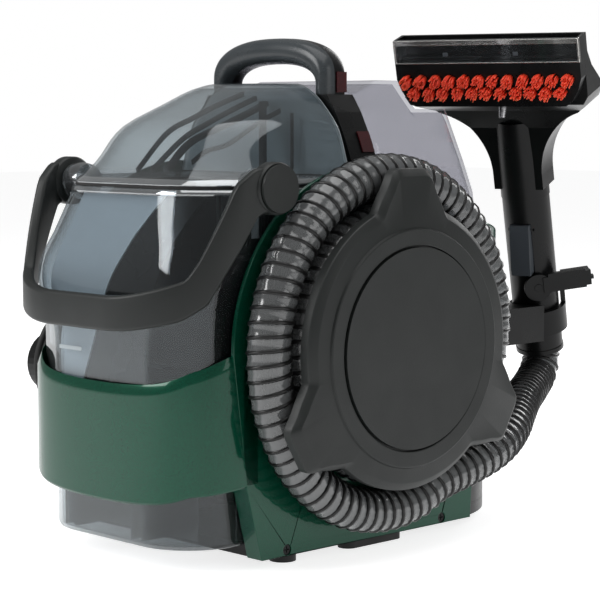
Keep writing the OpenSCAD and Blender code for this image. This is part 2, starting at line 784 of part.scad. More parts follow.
// from the side: the duct leans forward to the slot behind the window
module head_profile(in) polygon([[-13 + in, 60], [13 - in, 60], [13 - in, 120], [8 - in, 138], [-6 - in, 158],
                                 [-30 - in, 180], [-37 - in, 192], [-37 - in, 206 + in], [-48 + in, 206 + in],
                                 [-48 + in, 191.5], [-43.9 + in, 188], [-43.9 + in, 153], [-22 + in, 142],
                                 [-14 + in, 126], [-13 + in, 100]]);

module tool_body() color(black) placed() in_tool() {
    difference() {
        union() {
            intersection() {
                cross_slab(-60, 20) head_outline(0);
                side_slab(-80, 80) head_profile(0);
                block(-80, 80, -60, 20, 76, 206);
            }
            translate([0, 0, 68]) cylinder(h = 62, r = 19);
            // cheeks at both ends of the window
            for (s = [-1, 1]) block(s > 0 ? head_hw - 2 : -head_hw, s > 0 ? head_hw : 2 - head_hw,
                                    -51.9, -40, window_z + 0.1, 206);
        }
        intersection() {
            cross_slab(-60, 20) head_outline(2.5);
            side_slab(-80, 80) head_profile(2.5);
            block(-80, 80, -60, 20, 110, 207);
        }
        translate([0, 0, 67]) cylinder(h = 50, r = 10);
        // the slot is open at the front above the window's lip
        block(2 - head_hw, head_hw - 2, -60, -44, window_z + 3.1, 207);
    }
}

// block with tapered ends that carries the tufts
module brush_block() color(black) placed() in_tool() {
    difference() {
        cross_slab(-55, -44) polygon([[-head_hw, window_z], [-head_hw, 176], [-70, 167], [-65, 159], [-60, 155],
                                      [60, 155], [65, 159], [70, 167], [head_hw, 176], [head_hw, window_z]]);
        tuft_rows(48);
    }
}

// two staggered rows of round tufts
module tuft_rows(back) {
    pitch = 11.6;
    for (i = [0 : tufts - 1]) translate([(i - (tufts - 1) / 2) * pitch, -back, 176])
        rotate([90, 0, 0]) cylinder(h = 62 - back, r = 4, $fn = 24);
    for (i = [0 : tufts - 2]) translate([(i - (tufts - 2) / 2) * pitch, -back, 167])
        rotate([90, 0, 0]) cylinder(h = 62 - back, r = 4, $fn = 24);
}

module brush_bristles() color([0.94, 0.12, 0.06]) placed() in_tool() tuft_rows(48);

module nozzle_window() color([0.8, 0.82, 0.85, 0.4]) placed() in_tool() {
    block(-head_hw, head_hw, -55, -52, window_z, 206);
    block(2.1 - head_hw, head_hw - 2.1, -52, -48.1, window_z, window_z + 3);
}

// spray nozzle under the block, aimed ahead of the brush
module spray_tip() color(steel) placed() in_tool() translate([0, -30, 146]) rotate([153.3, 0, 0])
    cylinder(h = 7, r1 = 3, r2 = 2.4);

base_chassis();
rubber_feet();
rear_housing();
tank_deck();
rear_cowl();
center_frame();
carry_handle();
handle_inlays();
hose_side_panel();
cord_side_panel();
front_band();
hose_reel_hub();
hose_reel_cover();
hose_reel_cap();
hose_port();
case_screws();
vac_motor();
motor_mount();
fan_housing();
fan_impeller();
pump_body();
pump_tube();
tank_socket();
switch_bezel();
power_switch();
tool_cradle();
cord_hook_front();
cord_hook_rear();
hook_pin();
cord_gland();
cord_winding();
cord_lead();
cord_tail();
power_plug();
dirty_tank_shell();
tank_baffle();
float_cage();
float_ball();
tank_seal();
dirty_tank_lid();
bail_pins();
bail_handle();
bail_caps();
clean_tank_shell();
clean_tank_neck();
clean_tank_cap();
cap_seal();
tank_valve();
flex_hose();
hose_collar();
hose_grip();
spray_valve();
tool_pins();
spray_trigger();
grip_lever();
tool_body();
brush_block();
brush_bristles();
nozzle_window();
spray_tip();
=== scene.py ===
"""A carry-round spot extractor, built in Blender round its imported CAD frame.

Lengths in the piece functions are millimetres in the frame of the CAD source, which is drawn about
the two tanks and then moved back by Y_MID. at() turns them into metres in the row frame.
"""

import math
import random

import bmesh
import bpy
import numpy as np
from mathutils import Matrix, Vector


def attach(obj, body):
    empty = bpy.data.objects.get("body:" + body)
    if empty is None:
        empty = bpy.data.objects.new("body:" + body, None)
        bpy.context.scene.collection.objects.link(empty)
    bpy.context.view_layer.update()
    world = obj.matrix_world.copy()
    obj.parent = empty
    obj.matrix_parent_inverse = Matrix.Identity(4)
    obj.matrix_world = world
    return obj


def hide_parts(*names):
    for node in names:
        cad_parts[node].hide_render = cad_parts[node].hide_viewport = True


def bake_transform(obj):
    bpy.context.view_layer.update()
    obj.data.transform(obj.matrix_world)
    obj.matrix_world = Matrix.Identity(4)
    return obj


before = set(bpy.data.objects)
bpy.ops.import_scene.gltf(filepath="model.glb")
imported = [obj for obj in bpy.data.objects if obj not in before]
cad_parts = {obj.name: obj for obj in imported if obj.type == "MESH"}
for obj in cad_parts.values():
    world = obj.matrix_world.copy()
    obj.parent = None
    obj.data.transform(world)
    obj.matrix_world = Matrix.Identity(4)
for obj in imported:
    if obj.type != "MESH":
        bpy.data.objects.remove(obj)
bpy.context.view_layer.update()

MM = 0.001
Y_MID = -22.5
SEED = 11

# driving places, in millimetres
REEL_Y = -41
REEL_Z = 142
HOSE_X = 111.5
HOSE_R = 15.5
PIVOT_Y = -134
PIVOT_Z = 249
TOOL_AT = Vector((26, 224, 168.4))
TOOL_TURN = math.radians(19)
TOOL_LEAN = math.radians(16.5)


# ---------- places ----------


def at(x, y, z):
    """A point of the CAD source, in metres in the row frame."""
    return Vector((x, y + Y_MID, z)) * MM


TOOL_SPIN = Matrix.Rotation(TOOL_TURN, 3, "Z") @ Matrix.Rotation(TOOL_LEAN, 3, "X")


def tool_mm(x, y, z):
    """A point of the hose tool's own frame, in the CAD source's millimetres."""
    return TOOL_AT + TOOL_SPIN @ Vector((x, y, z))


def in_tool(x, y, z):
    return at(*tool_mm(x, y, z))


# ---------- materials ----------


class Paint:
    """A node material under construction: a Principled shader whose inputs take node outputs."""

    def __init__(self, name):
        self.material = bpy.data.materials.new(name)
        self.material.use_nodes = True
        self.nodes = self.material.node_tree.nodes
        self.links = self.material.node_tree.links
        self.shader = self.nodes["Principled BSDF"]
        self.output = self.nodes["Material Output"]
        self.place = self.nodes.new("ShaderNodeTexCoord").outputs["Object"]

    def set(self, **values):
        for name, value in values.items():
            self.shader.inputs[name.replace("_", " ")].default_value = value

    def link(self, source, target):
        self.links.new(source, target)

    def noise(self, scale, detail=3.0, stretch=None):
        node = self.nodes.new("ShaderNodeTexNoise")
        node.inputs["Scale"].default_value = scale
        node.inputs["Detail"].default_value = detail
        if stretch is None:
            self.link(self.place, node.inputs["Vector"])
        else:
            mapping = self.nodes.new("ShaderNodeMapping")
            mapping.inputs["Scale"].default_value = stretch
            self.link(self.place, mapping.inputs["Vector"])
            self.link(mapping.outputs["Vector"], node.inputs["Vector"])
        return node.outputs["Fac"]

    def ramp(self, source, low, high, start=0.3, end=0.7):
        """source turned into the range low to high; both are numbers or both colours."""
        node = self.nodes.new("ShaderNodeMapRange" if isinstance(low, (int, float)) else "ShaderNodeValToRGB")
        if isinstance(low, (int, float)):
            node.inputs["From Min"].default_value = start
            node.inputs["From Max"].default_value = end
            node.inputs["To Min"].default_value = low
            node.inputs["To Max"].default_value = high
            self.link(source, node.inputs["Value"])
            return node.outputs["Result"]
        node.color_ramp.elements[0].position = start
        node.color_ramp.elements[0].color = (*low, 1)
        node.color_ramp.elements[1].position = end
        node.color_ramp.elements[1].color = (*high, 1)
        self.link(source, node.inputs["Fac"])
        return node.outputs["Color"]

    def colour(self, source):
        self.link(source, self.shader.inputs["Base Color"])

    def rough(self, source):
        self.link(source, self.shader.inputs["Roughness"])

    def bump(self, source, height, strength=1.0):
        node = self.nodes.new("ShaderNodeBump")
        node.inputs["Strength"].default_value = strength
        node.inputs["Distance"].default_value = height
        self.link(source, node.inputs["Height"])
        self.link(node.outputs["Normal"], self.shader.inputs["Normal"])


def shade(colour, factor):
    return tuple(min(1.0, c * factor) for c in colour)


def moulded(name, colour, rough, grain=900.0, depth=0.00006, spread=0.12, wear=0.06, shine=0.35):
    """Moulded plastic: a fine spark-eroded grain, slow colour drift and handled, shinier patches."""
    paint = Paint(name)
    drift = paint.noise(14.0, 4.0)
    paint.colour(paint.ramp(drift, shade(colour, 1 - spread), shade(colour, 1 + spread)))
    rub = paint.noise(38.0, 5.0)
    paint.rough(paint.ramp(rub, rough - wear, rough + wear))
    paint.bump(paint.noise(grain, 2.0), depth, 0.6)
    paint.set(IOR=1.5, Specular_IOR_Level=shine)
    return paint.material


def glossy_green():
    """Deep green with fine metal flake under a clear lacquer."""
    paint = Paint("green_metallic")
    flake = paint.noise(2600.0, 1.0)
    paint.colour(paint.ramp(flake, (0.0, 0.03, 0.015), (0.0, 0.078, 0.042), 0.35, 0.7))
    haze = paint.noise(30.0, 4.0)
    paint.rough(paint.ramp(haze, 0.2, 0.28))
    paint.bump(paint.noise(26.0, 2.0), 0.0002, 0.12)
    paint.set(Metallic=0.3, Coat_Weight=0.5, Coat_Roughness=0.05, IOR=1.5, Specular_IOR_Level=0.12)
    return paint.material


def clear_plastic(name, tint, haze=0.06, body=0.1, edge=0.75, milk=(0.4, 0.42, 0.44)):
    """Thin tinted clear plastic: see-through face on, glossier and denser towards its edges."""
    paint = Paint(name)
    nodes = paint.nodes
    clear = nodes.new("ShaderNodeBsdfTransparent")
    clear.inputs["Color"].default_value = (*tint, 1)
    mix = nodes.new("ShaderNodeMixShader")
    edge_on = nodes.new("ShaderNodeLayerWeight")
    edge_on.inputs["Blend"].default_value = 0.35
    cover = paint.ramp(edge_on.outputs["Facing"], body, edge, 0.0, 1.0)
    paint.link(cover, mix.inputs["Fac"])
    paint.link(clear.outputs["BSDF"], mix.inputs[1])
    paint.link(paint.shader.outputs["BSDF"], mix.inputs[2])
    paint.link(mix.outputs["Shader"], paint.output.inputs["Surface"])
    cloud = paint.noise(9.0, 3.0)
    paint.colour(paint.ramp(cloud, shade(milk, 0.85), shade(milk, 1.1)))
    paint.rough(paint.ramp(paint.noise(60.0, 4.0), haze, haze + 0.05))
    paint.bump(paint.noise(20.0, 2.0), 0.0003, 0.15)
    paint.set(IOR=1.55, Specular_IOR_Level=1.0)
    return paint.material


def clear_wall(name, tint, skin=0.05, edge=0.75, mirror=(0.62, 0.64, 0.65), haze=0.04):
    """Hard clear plastic: each surface tints what is behind it and mirrors the studio, most at its edges."""
    paint = Paint(name)
    nodes = paint.nodes
    clear = nodes.new("ShaderNodeBsdfTransparent")
    clear.inputs["Color"].default_value = (*tint, 1)
    mix = nodes.new("ShaderNodeMixShader")
    edge_on = nodes.new("ShaderNodeLayerWeight")
    edge_on.inputs["Blend"].default_value = 0.5
    steep = nodes.new("ShaderNodeMath")
    steep.operation = "POWER"
    steep.inputs[1].default_value = 3.0
    paint.link(edge_on.outputs["Facing"], steep.inputs[0])
    cover = paint.ramp(steep.outputs["Value"], skin, edge, 0.0, 1.0)
    paint.link(cover, mix.inputs["Fac"])
    paint.link(clear.outputs["BSDF"], mix.inputs[1])
    paint.link(paint.shader.outputs["BSDF"], mix.inputs[2])
    paint.link(mix.outputs["Shader"], paint.output.inputs["Surface"])
    cloud = paint.noise(9.0, 3.0)
    paint.colour(paint.ramp(cloud, shade(mirror, 0.92), shade(mirror, 1.06)))
    paint.rough(paint.ramp(paint.noise(60.0, 4.0), haze, haze + 0.05))
    paint.bump(paint.noise(16.0, 2.0), 0.0004, 0.2)
    paint.set(Metallic=0.9, IOR=1.5)
    return paint.material


def bright_steel():
    paint = Paint("bright_steel")
    brush = paint.noise(220.0, 3.0, (1, 1, 14))
    paint.colour(paint.ramp(brush, (0.5, 0.5, 0.52), (0.72, 0.72, 0.74)))
    paint.rough(paint.ramp(brush, 0.18, 0.36))
    paint.bump(brush, 0.00002, 0.5)
    paint.set(Metallic=1.0)
    return paint.material


def nylon_bristle():
    paint = Paint("bristle_nylon")
    strand = paint.noise(1800.0, 1.0, (1, 0.06, 1))
    paint.colour(paint.ramp(strand, (0.85, 0.03, 0.01), (1.0, 0.085, 0.03)))
    paint.rough(paint.ramp(strand, 0.35, 0.55))
    paint.bump(strand, 0.0003, 0.8)
    paint.set(Subsurface_Weight=0.12)
    return paint.material


MAT = {
    "green": glossy_green(),
    "black": moulded("black_satin", (0.004, 0.0043, 0.0045), 0.3, 700.0, 0.00003, shine=0.2),
    "charcoal": moulded("charcoal_grain", (0.0095, 0.0115, 0.011), 0.46, 1100.0, 0.00012),
    "gunmetal": moulded("gunmetal", (0.035, 0.041, 0.045), 0.26, 900.0, 0.00003),
    "trigger_grey": moulded("trigger_grey", (0.045, 0.052, 0.06), 0.36),
    "deck_grey": moulded("deck_light_grey", (0.3, 0.31, 0.33), 0.45),
    # denser than the lid: partly smoky plastic, partly painted shade for the tank's dark reflections
    "smoke": clear_wall("smoke_clear", (0.72, 0.76, 0.785), skin=0.06, edge=0.8),
    "lid_clear": clear_wall("lid_clear", (0.79, 0.82, 0.835), skin=0.06, edge=0.75),
    "smoke_rib": clear_plastic("smoke_rib", (0.3, 0.33, 0.35), body=0.45, edge=0.85,
                               milk=(0.012, 0.014, 0.016)),
    "boss_clear": clear_wall("boss_clear", (0.62, 0.65, 0.67), skin=0.3, edge=0.9),
    "lid_back": clear_plastic("lid_back", (0.74, 0.77, 0.79), body=0.85, edge=0.9, milk=(0.4, 0.44, 0.46)),
    # light grey for the sheet inside the tank that paints its bright highlight
    "painted_highlight_grey": moulded("painted_highlight_grey", (0.8, 0.82, 0.84), 0.22, 300.0, 0.00002, 0.04),
    # a brighter, more mirroring copy of the clear plastic that paints the highlight along the seam
    "seam_highlight_clear": clear_wall("seam_highlight_clear", (0.6, 0.63, 0.65), skin=0.3, edge=0.95, mirror=(0.85, 0.87, 0.88)),
    "window_clear": clear_wall("window_clear", (0.62, 0.65, 0.67), skin=0.12, edge=0.9),
    # a near-opaque bright copy of the window's clear plastic, painting the highlight along its edge
    "window_edge_highlight": clear_wall("window_edge_highlight", (0.8, 0.78, 0.75), skin=0.75, edge=0.95,
                              mirror=(0.8, 0.78, 0.75)),
    "lavender": clear_wall("lavender_clear", (0.8, 0.8, 0.825), skin=0.06, edge=0.7, mirror=(0.6, 0.6, 0.63)),
    "red_clear": clear_plastic("red_clear", (0.3, 0.02, 0.03), body=0.6, milk=(0.06, 0.003, 0.006)),
    "head_clear": clear_plastic("head_clear", (0.9, 0.91, 0.92), body=0.42, edge=0.9,
                                milk=(0.2, 0.205, 0.21)),
    "hose_film": clear_plastic("hose_film", (0.6, 0.62, 0.63), haze=0.12, body=0.68, edge=0.92,
                               milk=(0.125, 0.13, 0.132)),
    "hose_rib": moulded("hose_rib_black", (0.006, 0.006, 0.006), 0.3, 500.0),
    "rubber": moulded("cord_rubber", (0.008, 0.008, 0.008), 0.55, 1500.0, 0.00004),
    "steel": bright_steel(),
    "valve_white": moulded("natural_white", (0.74, 0.75, 0.74), 0.4),
    "switch_red": moulded("switch_red", (0.3, 0.012, 0.014), 0.3),
    "bristle": nylon_bristle(),
}


# ---------- mesh building ----------


def new_piece(name, verts, faces, material, body, replaces=(), smooth=True):
    mesh = bpy.data.meshes.new(name)
    mesh.from_pydata([tuple(v) for v in verts], [], faces)
    mesh.update()
    work = bmesh.new()
    work.from_mesh(mesh)
    bmesh.ops.recalc_face_normals(work, faces=work.faces)
    work.to_mesh(mesh)
    work.free()
    for face in mesh.polygons:
        face.use_smooth = smooth
    obj = bpy.data.objects.new(name, mesh)
    bpy.context.scene.collection.objects.link(obj)
    mesh.materials.append(MAT[material])
    return placed(obj, body, replaces)


def placed(obj, body, replaces=()):
    if body:
        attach(obj, body)
    if replaces:
        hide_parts(*replaces)
    return obj


def soften(obj, width, segments=3, angle=32):
    """Rounds the edges sharper than angle, as a mould does, and keeps the flats flat."""
    bevel = obj.modifiers.new("soft_edge", "BEVEL")
    bevel.width = width * MM
    bevel.segments = segments
    bevel.limit_method = "ANGLE"
    bevel.angle_limit = math.radians(angle)
    bevel.miter_outer = "MITER_ARC"
    flats = obj.modifiers.new("flat_faces", "WEIGHTED_NORMAL")
    flats.keep_sharp = True
    return obj


def frames_along(points):
    """Tangent and two normals at each point, carried along without twist."""
    points = np.array([tuple(p) for p in points])
    ahead = np.vstack([points[1:], points[-1] * 2 - points[-2]])
    behind = np.vstack([points[0] * 2 - points[1], points[:-1]])
    tangent = ahead - behind
    tangent /= np.linalg.norm(tangent, axis=1)[:, None]
    side = np.cross(tangent[0], (1.0, 0.0, 0.0))
    if np.linalg.norm(side) < 0.1:
        side = np.cross(tangent[0], (0.0, 1.0, 0.0))
    normals = []
    for t in tangent:
        side = side - t * side.dot(t)
        side /= np.linalg.norm(side)
        normals.append(side)
    normals = np.array(normals)
    return points, tangent, normals, np.cross(tangent, normals)


def resample(points, step):
    """The smooth line through points, as points a fixed step apart. All in the same unit."""
    p = np.array([tuple(q) for q in points], float)
    p = np.vstack([2 * p[0] - p[1], p, 2 * p[-1] - p[-2]])
    fine = []
    for i in range(1, len(p) - 2):
        for t in np.linspace(0, 1, 24, endpoint=False):
            fine.append(0.5 * ((2 * p[i]) + (p[i + 1] - p[i - 1]) * t
                               + (2 * p[i - 1] - 5 * p[i] + 4 * p[i + 1] - p[i + 2]) * t ** 2
                               + (3 * p[i] - p[i - 1] - 3 * p[i + 1] + p[i + 2]) * t ** 3))
    fine.append(p[-2])
    fine = np.array(fine)
    run = np.concatenate([[0], np.cumsum(np.linalg.norm(np.diff(fine, axis=0), axis=1))])
    count = max(2, int(round(run[-1] / step)) + 1)
    want = np.linspace(0, run[-1], count)
    return np.stack([np.interp(want, run, fine[:, k]) for k in range(3)], axis=1), run[-1]


def tube_mesh(points, radii, sides, closed_ends=True):
    """Vertices and faces of a tube whose radius is given at each point."""
    points, _, one, two = frames_along(points)
    angle = np.linspace(0, 2 * math.pi, sides, endpoint=False)
    ring = np.cos(angle)[None, :, None] * one[:, None, :] + np.sin(angle)[None, :, None] * two[:, None, :]
    verts = (points[:, None, :] + ring * np.asarray(radii)[:, None, None]).reshape(-1, 3)
    faces = grid_faces(len(points), sides)
    if closed_ends:
        faces.append(list(range(sides))[::-1])
        faces.append([(len(points) - 1) * sides + k for k in range(sides)])
    return verts, faces


def grid_faces(rows, sides, wrap=True):
    faces = []
    for i in range(rows - 1):
        for k in range(sides if wrap else sides - 1):
            n = (k + 1) % sides
            faces.append([i * sides + k, i * sides + n, (i + 1) * sides + n, (i + 1) * sides + k])
    return faces


# ---------- camera, light and floor ----------

CAMERA_AT = (1032.7, -1009.1, 298.2)
CAMERA_LOOK = (-0.71494, 0.69282, -0.09411)
LENS_MM = 120
SENSOR_MM = 36


def make_camera():
    data = bpy.data.cameras.new("camera")
    data.lens = LENS_MM
    data.sensor_width = SENSOR_MM
    camera = bpy.data.objects.new("camera", data)
    bpy.context.scene.collection.objects.link(camera)
    camera.location = at(*CAMERA_AT)
    camera.rotation_euler = Vector(CAMERA_LOOK).to_track_quat("-Z", "Y").to_euler()
    bpy.context.scene.camera = camera


def area_light(name, place, aim, size, power, colour=(1, 1, 1)):
    data = bpy.data.lights.new(name, "AREA")
    data.shape = "RECTANGLE"
    data.size, data.size_y = size
    data.energy = power
    data.color = colour
    lamp = bpy.data.objects.new(name, data)
    bpy.context.scene.collection.objects.link(lamp)
    lamp.location = Vector(place)
    lamp.rotation_euler = (Vector(aim) - Vector(place)).to_track_quat("-Z", "Y").to_euler()


def make_studio():
    world = bpy.data.worlds.new("studio")
    bpy.context.scene.world = world
    world.use_nodes = True
    back = world.node_tree.nodes["Background"]
    back.inputs["Color"].default_value = (1.0, 1.0, 1.0, 1)
    # a full white sweep behind the object, and a softer dome as its light
    seen = world.node_tree.nodes.new("ShaderNodeLightPath")
    power = world.node_tree.nodes.new("ShaderNodeMapRange")
    power.inputs["To Min"].default_value = 0.27
    power.inputs["To Max"].default_value = 1.0
    world.node_tree.links.new(seen.outputs["Is Camera Ray"], power.inputs["Value"])
    world.node_tree.links.new(power.outputs["Result"], back.inputs["Strength"])
    bpy.context.scene.view_settings.view_transform = "Standard"
    middle = (0, 0, 0.17)
    area_light("key_left_front", (-0.9, -1.7, 1.3), middle, (0.8, 1.2), 27)
    area_light("fill_right", (1.9, 0.2, 0.9), middle, (0.9, 1.3), 6)
    area_light("top_soft", (0.1, -0.2, 1.9), middle, (1.6, 1.6), 17)
    area_light("back_rim", (-0.3, 1.7, 1.0), middle, (1.2, 0.9), 14)
    bpy.ops.mesh.primitive_plane_add(size=14, location=(0, 0, 0))
    floor = bpy.context.object
    floor.name = "studio_floor"
    paint = Paint("floor_paint")
    paint.colour(paint.ramp(paint.noise(3.0), (0.6, 0.6, 0.61), (0.62, 0.62, 0.62)))
    paint.set(Roughness=0.75, Emission_Color=(1, 1, 1, 1), Emission_Strength=0.78)
    floor.data.materials.append(paint.material)


make_camera()
make_studio()


# ---------- suction hose ----------

REEL_TURN_Y = -36
OUTER_A = 108
OUTER_B = 113
INNER_A = 77
INNER_B = 80.4
RIB_PITCH = 8.7
# the film, its wire and the solution line inside it
FILM_R = 14.05
FILM_SWELL = 0.3
WIRE_IN = 1.5
WIRE_R = 1.4
LINE_R = 3
LINE_OFF = 8.5


def hose_route():
    """From the grip's collar, down and forward, twice round the reel, into the port on the frame."""
    tail = [tool_mm(0, 0, -62.4), tool_mm(0, 0, -68), (21, 240, 96), (25, 231, 88), (33, 216, 84),
            (46, 194, 81), (62, 167, 78), (78, 142, 73), (94, 117, 67), (105, 94, 61), (110.5, 72, 55),
            (111.5, 45, 48.5)]
    turns = []
    for w in range(-62, -626, -12):
        k = min(1.0, max(0.0, (-w - 350) / 80))
        k = k * k * (3 - 2 * k)
        a = OUTER_A + (INNER_A - OUTER_A) * k
        b = OUTER_B + (INNER_B - OUTER_B) * k
        angle = math.radians(w)
        turns.append((HOSE_X, REEL_TURN_Y + a * math.cos(angle), REEL_Z + b * math.sin(angle)))
    return [tuple(p) for p in tail] + turns + [(HOSE_X, -49, 222.4), (HOSE_X, -45, 222.4)]


def make_hose():
    steps_per_rib = 6
    route, length = resample(hose_route(), RIB_PITCH / steps_per_rib)
    route = np.array([at(*p) for p in route])
    # the film swells a little between the ribs
    phase = np.arange(len(route)) / steps_per_rib * 2 * math.pi
    radii = (FILM_R - FILM_SWELL * np.cos(phase)) * MM
    verts, faces = tube_mesh(route, radii, 20)
    film = new_piece("suction_hose", verts, faces, "hose_film", None, ["flex_hose"])
    # the helix that keeps the film round
    sides = 18
    turns = length / RIB_PITCH
    count = int(turns * sides)
    place = np.linspace(0, len(route) - 1, count)
    points, _, one, two = frames_along(route)
    index = np.arange(len(route))

    def along(values):
        return np.stack([np.interp(place, index, values[:, k]) for k in range(3)], axis=1)

    angle = np.arange(count) * 2 * math.pi / sides
    outward = np.cos(angle)[:, None] * along(one) + np.sin(angle)[:, None] * along(two)
    coil = along(points) + (HOSE_R - WIRE_IN) * MM * outward
    verts, faces = tube_mesh(coil, np.full(count, WIRE_R * MM), 6)
    helix = new_piece("hose_helix", verts, faces, "hose_rib", None, ())
    # the solution line lies along the inside of the bends
    line = points + LINE_OFF * MM * (np.cos(0.6) * one + np.sin(0.6) * two)
    verts, faces = tube_mesh(line[::4], np.full(len(line[::4]), LINE_R * MM), 10)
    inner = new_piece("solution_line", verts, faces, "hose_rib", None, ())
    for piece in (film, helix, inner):
        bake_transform(piece)


# ---------- mains cord ----------

CORD_R = 3.2
HANK_Z = 115
HANK_Y0 = -108
HANK_Y1 = 45
HANK_R_OUT = 45
HANK_R_IN = 25.5
LANES_X = (-102.4, -109, -115.6, -122.2)
LEAD = [(-103, 47, 30), (-103.1, 38, 30.5), (-103.1, 26, 33), (-103, 12, 39.5), (-102.8, -2, 48),
        (-102.6, -16, 56.5), (-102.4, -30, 64), (-102.4, -42, 68.6)]
TAIL = [(-122.2, -60, 160), (-121.5, -46, 161.5), (-119, -32, 165), (-116, -18, 169.5), (-114, -8, 173),
        (-113, 0, 175.5)]


def hank_point(turn, radius, x):
    """A point of the oval at a fraction of a turn, from the middle of the lower run towards the front."""
    run = HANK_Y1 - HANK_Y0
    length = 2 * math.pi * radius + 2 * run
    s = (turn % 1.0) * length
    first = -44 - HANK_Y0
    if s < first:
        return (x, -44 - s, HANK_Z - radius)
    s -= first
    if s < math.pi * radius:
        a = s / radius
        return (x, HANK_Y0 - radius * math.sin(a), HANK_Z - radius * math.cos(a))
    s -= math.pi * radius
    if s < run:
        return (x, HANK_Y0 + s, HANK_Z + radius)
    s -= run
    if s < math.pi * radius:
        a = s / radius
        return (x, HANK_Y1 + radius * math.sin(a), HANK_Z + radius * math.cos(a))
    s -= math.pi * radius
    return (x, HANK_Y1 - s, HANK_Z - radius)


def winding():
    """Four flat spirals side by side, wound in and out by turns."""
    points = []
    per_turn = 40
    lane_turns = (3.0, 3.0, 3.0, 2.36)
    start = 0.0
    for lane, turns in enumerate(lane_turns):
        inward = lane % 2 == 0
        for i in range(int(turns * per_turn)):
            done = i / (turns * per_turn)
            depth = done if inward else 1 - done
            radius = HANK_R_OUT - (HANK_R_OUT - HANK_R_IN) * depth
            # the change of lane takes the first tenth of a turn
            ease = min(1.0, i / (0.1 * per_turn))
            before = LANES_X[max(0, lane - 1)]
            points.append(hank_point(start + i / per_turn, radius, before + (LANES_X[lane] - before) * ease))
        start += turns
    return points


def make_power_cord():
    route, length = resample(LEAD + winding() + TAIL, 7)
    curve = bpy.data.curves.new("power_cord", "CURVE")
    curve.dimensions = "3D"
    curve.bevel_depth = CORD_R * MM
    curve.bevel_resolution = 3
    curve.use_fill_caps = True
    line = curve.splines.new("POLY")
    line.points.add(len(route) - 1)
    for point, place in zip(line.points, route):
        point.co = (*at(*place), 1)
    cord = bpy.data.objects.new("power_cord", curve)
    bpy.context.scene.collection.objects.link(cord)
    curve.materials.append(MAT["rubber"])
    placed(cord, "case", ["cord_lead", "cord_winding", "cord_tail"])


make_hose()
make_power_cord()


# ---------- lofted shells ----------


def support_ring(circles, count):
    """The outline round a set of circles (x, y, r), one point for each direction it faces."""
    turn = np.linspace(0, 2 * math.pi, count, endpoint=False)
    facing = np.stack([np.cos(turn), np.sin(turn)])
    circles = np.array(circles, float)
    reach = circles[:, :2] @ facing + circles[:, 2:]
    best = reach.argmax(axis=0)
    return circles[best, :2] + circles[best, 2:] * facing.T


def mirrored(circles):
    return [(s * x, y, r) for s in (1, -1) for x, y, r in circles]


def between(layers, z):
    """Circles at height z, on smooth curves through the layers [(z, circles), ...]."""
    heights = [layer[0] for layer in layers]
    data = [np.array(layer[1], float) for layer in layers]
    i = max(0, min(len(heights) - 2, sum(h <= z for h in heights) - 1))
    t = (z - heights[i]) / (heights[i + 1] - heights[i])
    before, after = data[max(0, i - 1)], data[min(len(data) - 1, i + 2)]
    span = heights[i + 1] - heights[i]
    low_span = heights[i + 1] - heights[max(0, i - 1)]
    high_span = heights[min(len(data) - 1, i + 2)] - heights[i]
    m0 = (data[i + 1] - before) / low_span * span
    m1 = (after - data[i]) / high_span * span
    return ((2 * t ** 3 - 3 * t ** 2 + 1) * data[i] + (t ** 3 - 2 * t ** 2 + t) * m0
            + (-2 * t ** 3 + 3 * t ** 2) * data[i + 1] + (t ** 3 - t ** 2) * m1)


def grown(circles, by):
    circles = np.array(circles, float)
    circles[:, 2] = np.maximum(circles[:, 2] + by, 0.2)
    return circles


def lofted(name, rings, heights, material, body, replaces=()):
    """A closed skin over rings of the same count; its first and last ring are filled."""
    count = len(rings[0])
    verts = [at(x, y, z) for ring, z in zip(rings, heights) for x, y in ring]
    faces = grid_faces(len(rings), count)
    faces.append(list(range(count)))
    faces.append([(len(rings) - 1) * count + k for k in range(count)])
    piece = new_piece(name, verts, faces, material, body, replaces)
    mark_sharp(piece, 40)
    return piece


def mark_sharp(obj, angle):
    """Edges sharper than angle stay crisp under smooth shading."""
    work = bmesh.new()
    work.from_mesh(obj.data)
    limit = math.radians(angle)
    for edge in work.edges:
        if len(edge.link_faces) == 2 and edge.calc_face_angle(0) > limit:
            edge.smooth = False
    work.to_mesh(obj.data)
    work.free()


def bars(name, boxes, material, body, edge, replaces=(), place=at):
    """Straight ribs and bars, each (x0, x1, y0, y1, z0, z1), with rounded edges."""
    verts, faces = [], []
    for x0, x1, y0, y1, z0, z1 in boxes:
        n = len(verts)
        verts += [place(x, y, z) for z in (z0, z1) for x, y in ((x0, y0), (x1, y0), (x1, y1), (x0, y1))]
        faces += [[n, n + 3, n + 2, n + 1], [n + 4, n + 5, n + 6, n + 7]]
        faces += [[n + k, n + (k + 1) % 4, n + 4 + (k + 1) % 4, n + 4 + k] for k in range(4)]
    return soften(new_piece(name, verts, faces, material, body, replaces), edge)


# ---------- dirty tank and its lid ----------

